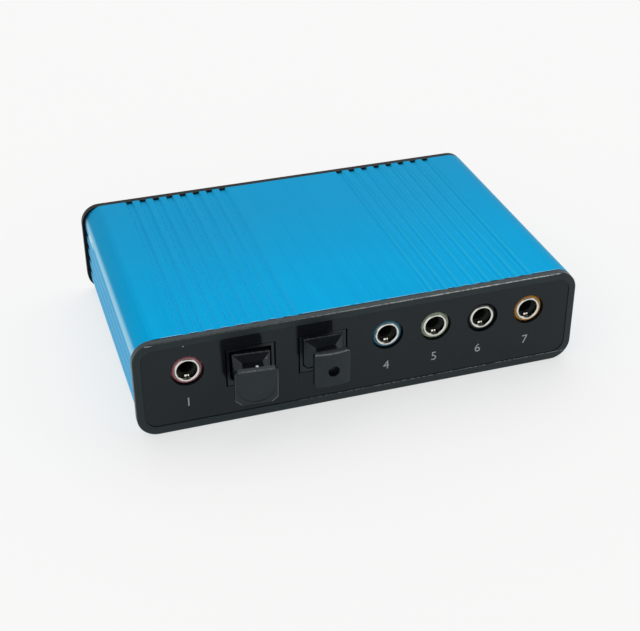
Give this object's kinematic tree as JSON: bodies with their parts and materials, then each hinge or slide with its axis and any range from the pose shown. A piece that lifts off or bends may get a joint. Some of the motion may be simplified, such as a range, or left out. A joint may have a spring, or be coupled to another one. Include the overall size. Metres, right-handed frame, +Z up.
{
  "type": "usb sound card",
  "caption": "Flat desktop USB sound card: ribbed blue aluminium sleeve between dark end caps, with round audio jacks and plugged optical sockets in front.",
  "frame": {"origin": "middle of the bounding box, at the underside", "axes": "+X to the right seen from the front, the front with its sockets faces -Y, +Z up"},
  "size_m": [0.11, 0.0802, 0.0252],
  "materials": {
    "housing_sleeve": "satin",
    "front_cap": "satin",
    "front_fascia": "gloss",
    "front_screws": "satin",
    "rear_cap": "satin",
    "rear_screws": "satin",
    "main_board": "satin",
    "mic_jack_collar": "satin",
    "line_jack_collar": "satin",
    "front_jack_collar": "satin",
    "rear_jack_collar": "satin",
    "bass_jack_collar": "satin",
    "jack_body": "satin",
    "optical_in_housing": "gloss",
    "optical_out_housing": "gloss",
    "optical_in_element": "gloss",
    "optical_out_element": "gloss",
    "dust_plug_in": "gloss",
    "dust_plug_out": "gloss",
    "usb_shell": "satin",
    "usb_insulator": "satin",
    "usb_contacts": "satin",
    "audio_chip": "matte",
    "memory_chip": "matte",
    "crystal_can": "satin",
    "voltage_regulator": "matte",
    "can_capacitors": "satin",
    "chip_capacitors": "matte",
    "jack_bushing": "satin",
    "jack_contacts": "satin"
  },
  "bodies": {
    "root": {"housing_sleeve": "housing_sleeve", "front_cap": "front_cap", "front_fascia": "front_fascia", "front_screws": "front_screws", "rear_cap": "rear_cap", "rear_screws": "rear_screws", "main_board": "main_board", "mic_jack_body": "jack_body", "line_jack_body": "jack_body", "front_jack_body": "jack_body", "rear_jack_body": "jack_body", "bass_jack_body": "jack_body", "mic_jack_collar": "mic_jack_collar", "line_jack_collar": "line_jack_collar", "front_jack_collar": "front_jack_collar", "rear_jack_collar": "rear_jack_collar", "bass_jack_collar": "bass_jack_collar", "mic_jack_bushing": "jack_bushing", "line_jack_bushing": "jack_bushing", "front_jack_bushing": "jack_bushing", "rear_jack_bushing": "jack_bushing", "bass_jack_bushing": "jack_bushing", "mic_jack_contacts": "jack_contacts", "line_jack_contacts": "jack_contacts", "front_jack_contacts": "jack_contacts", "rear_jack_contacts": "jack_contacts", "bass_jack_contacts": "jack_contacts", "optical_in_housing": "optical_in_housing", "optical_out_housing": "optical_out_housing", "optical_in_element": "optical_in_element", "optical_out_element": "optical_out_element", "dust_plug_in": "dust_plug_in", "dust_plug_out": "dust_plug_out", "usb_shell": "usb_shell", "usb_insulator": "usb_insulator", "usb_contacts": "usb_contacts", "audio_chip": "audio_chip", "memory_chip": "memory_chip", "crystal_can": "crystal_can", "voltage_regulator": "voltage_regulator", "can_capacitors": "can_capacitors", "chip_capacitors": "chip_capacitors"}
  },
  "joints": []
}
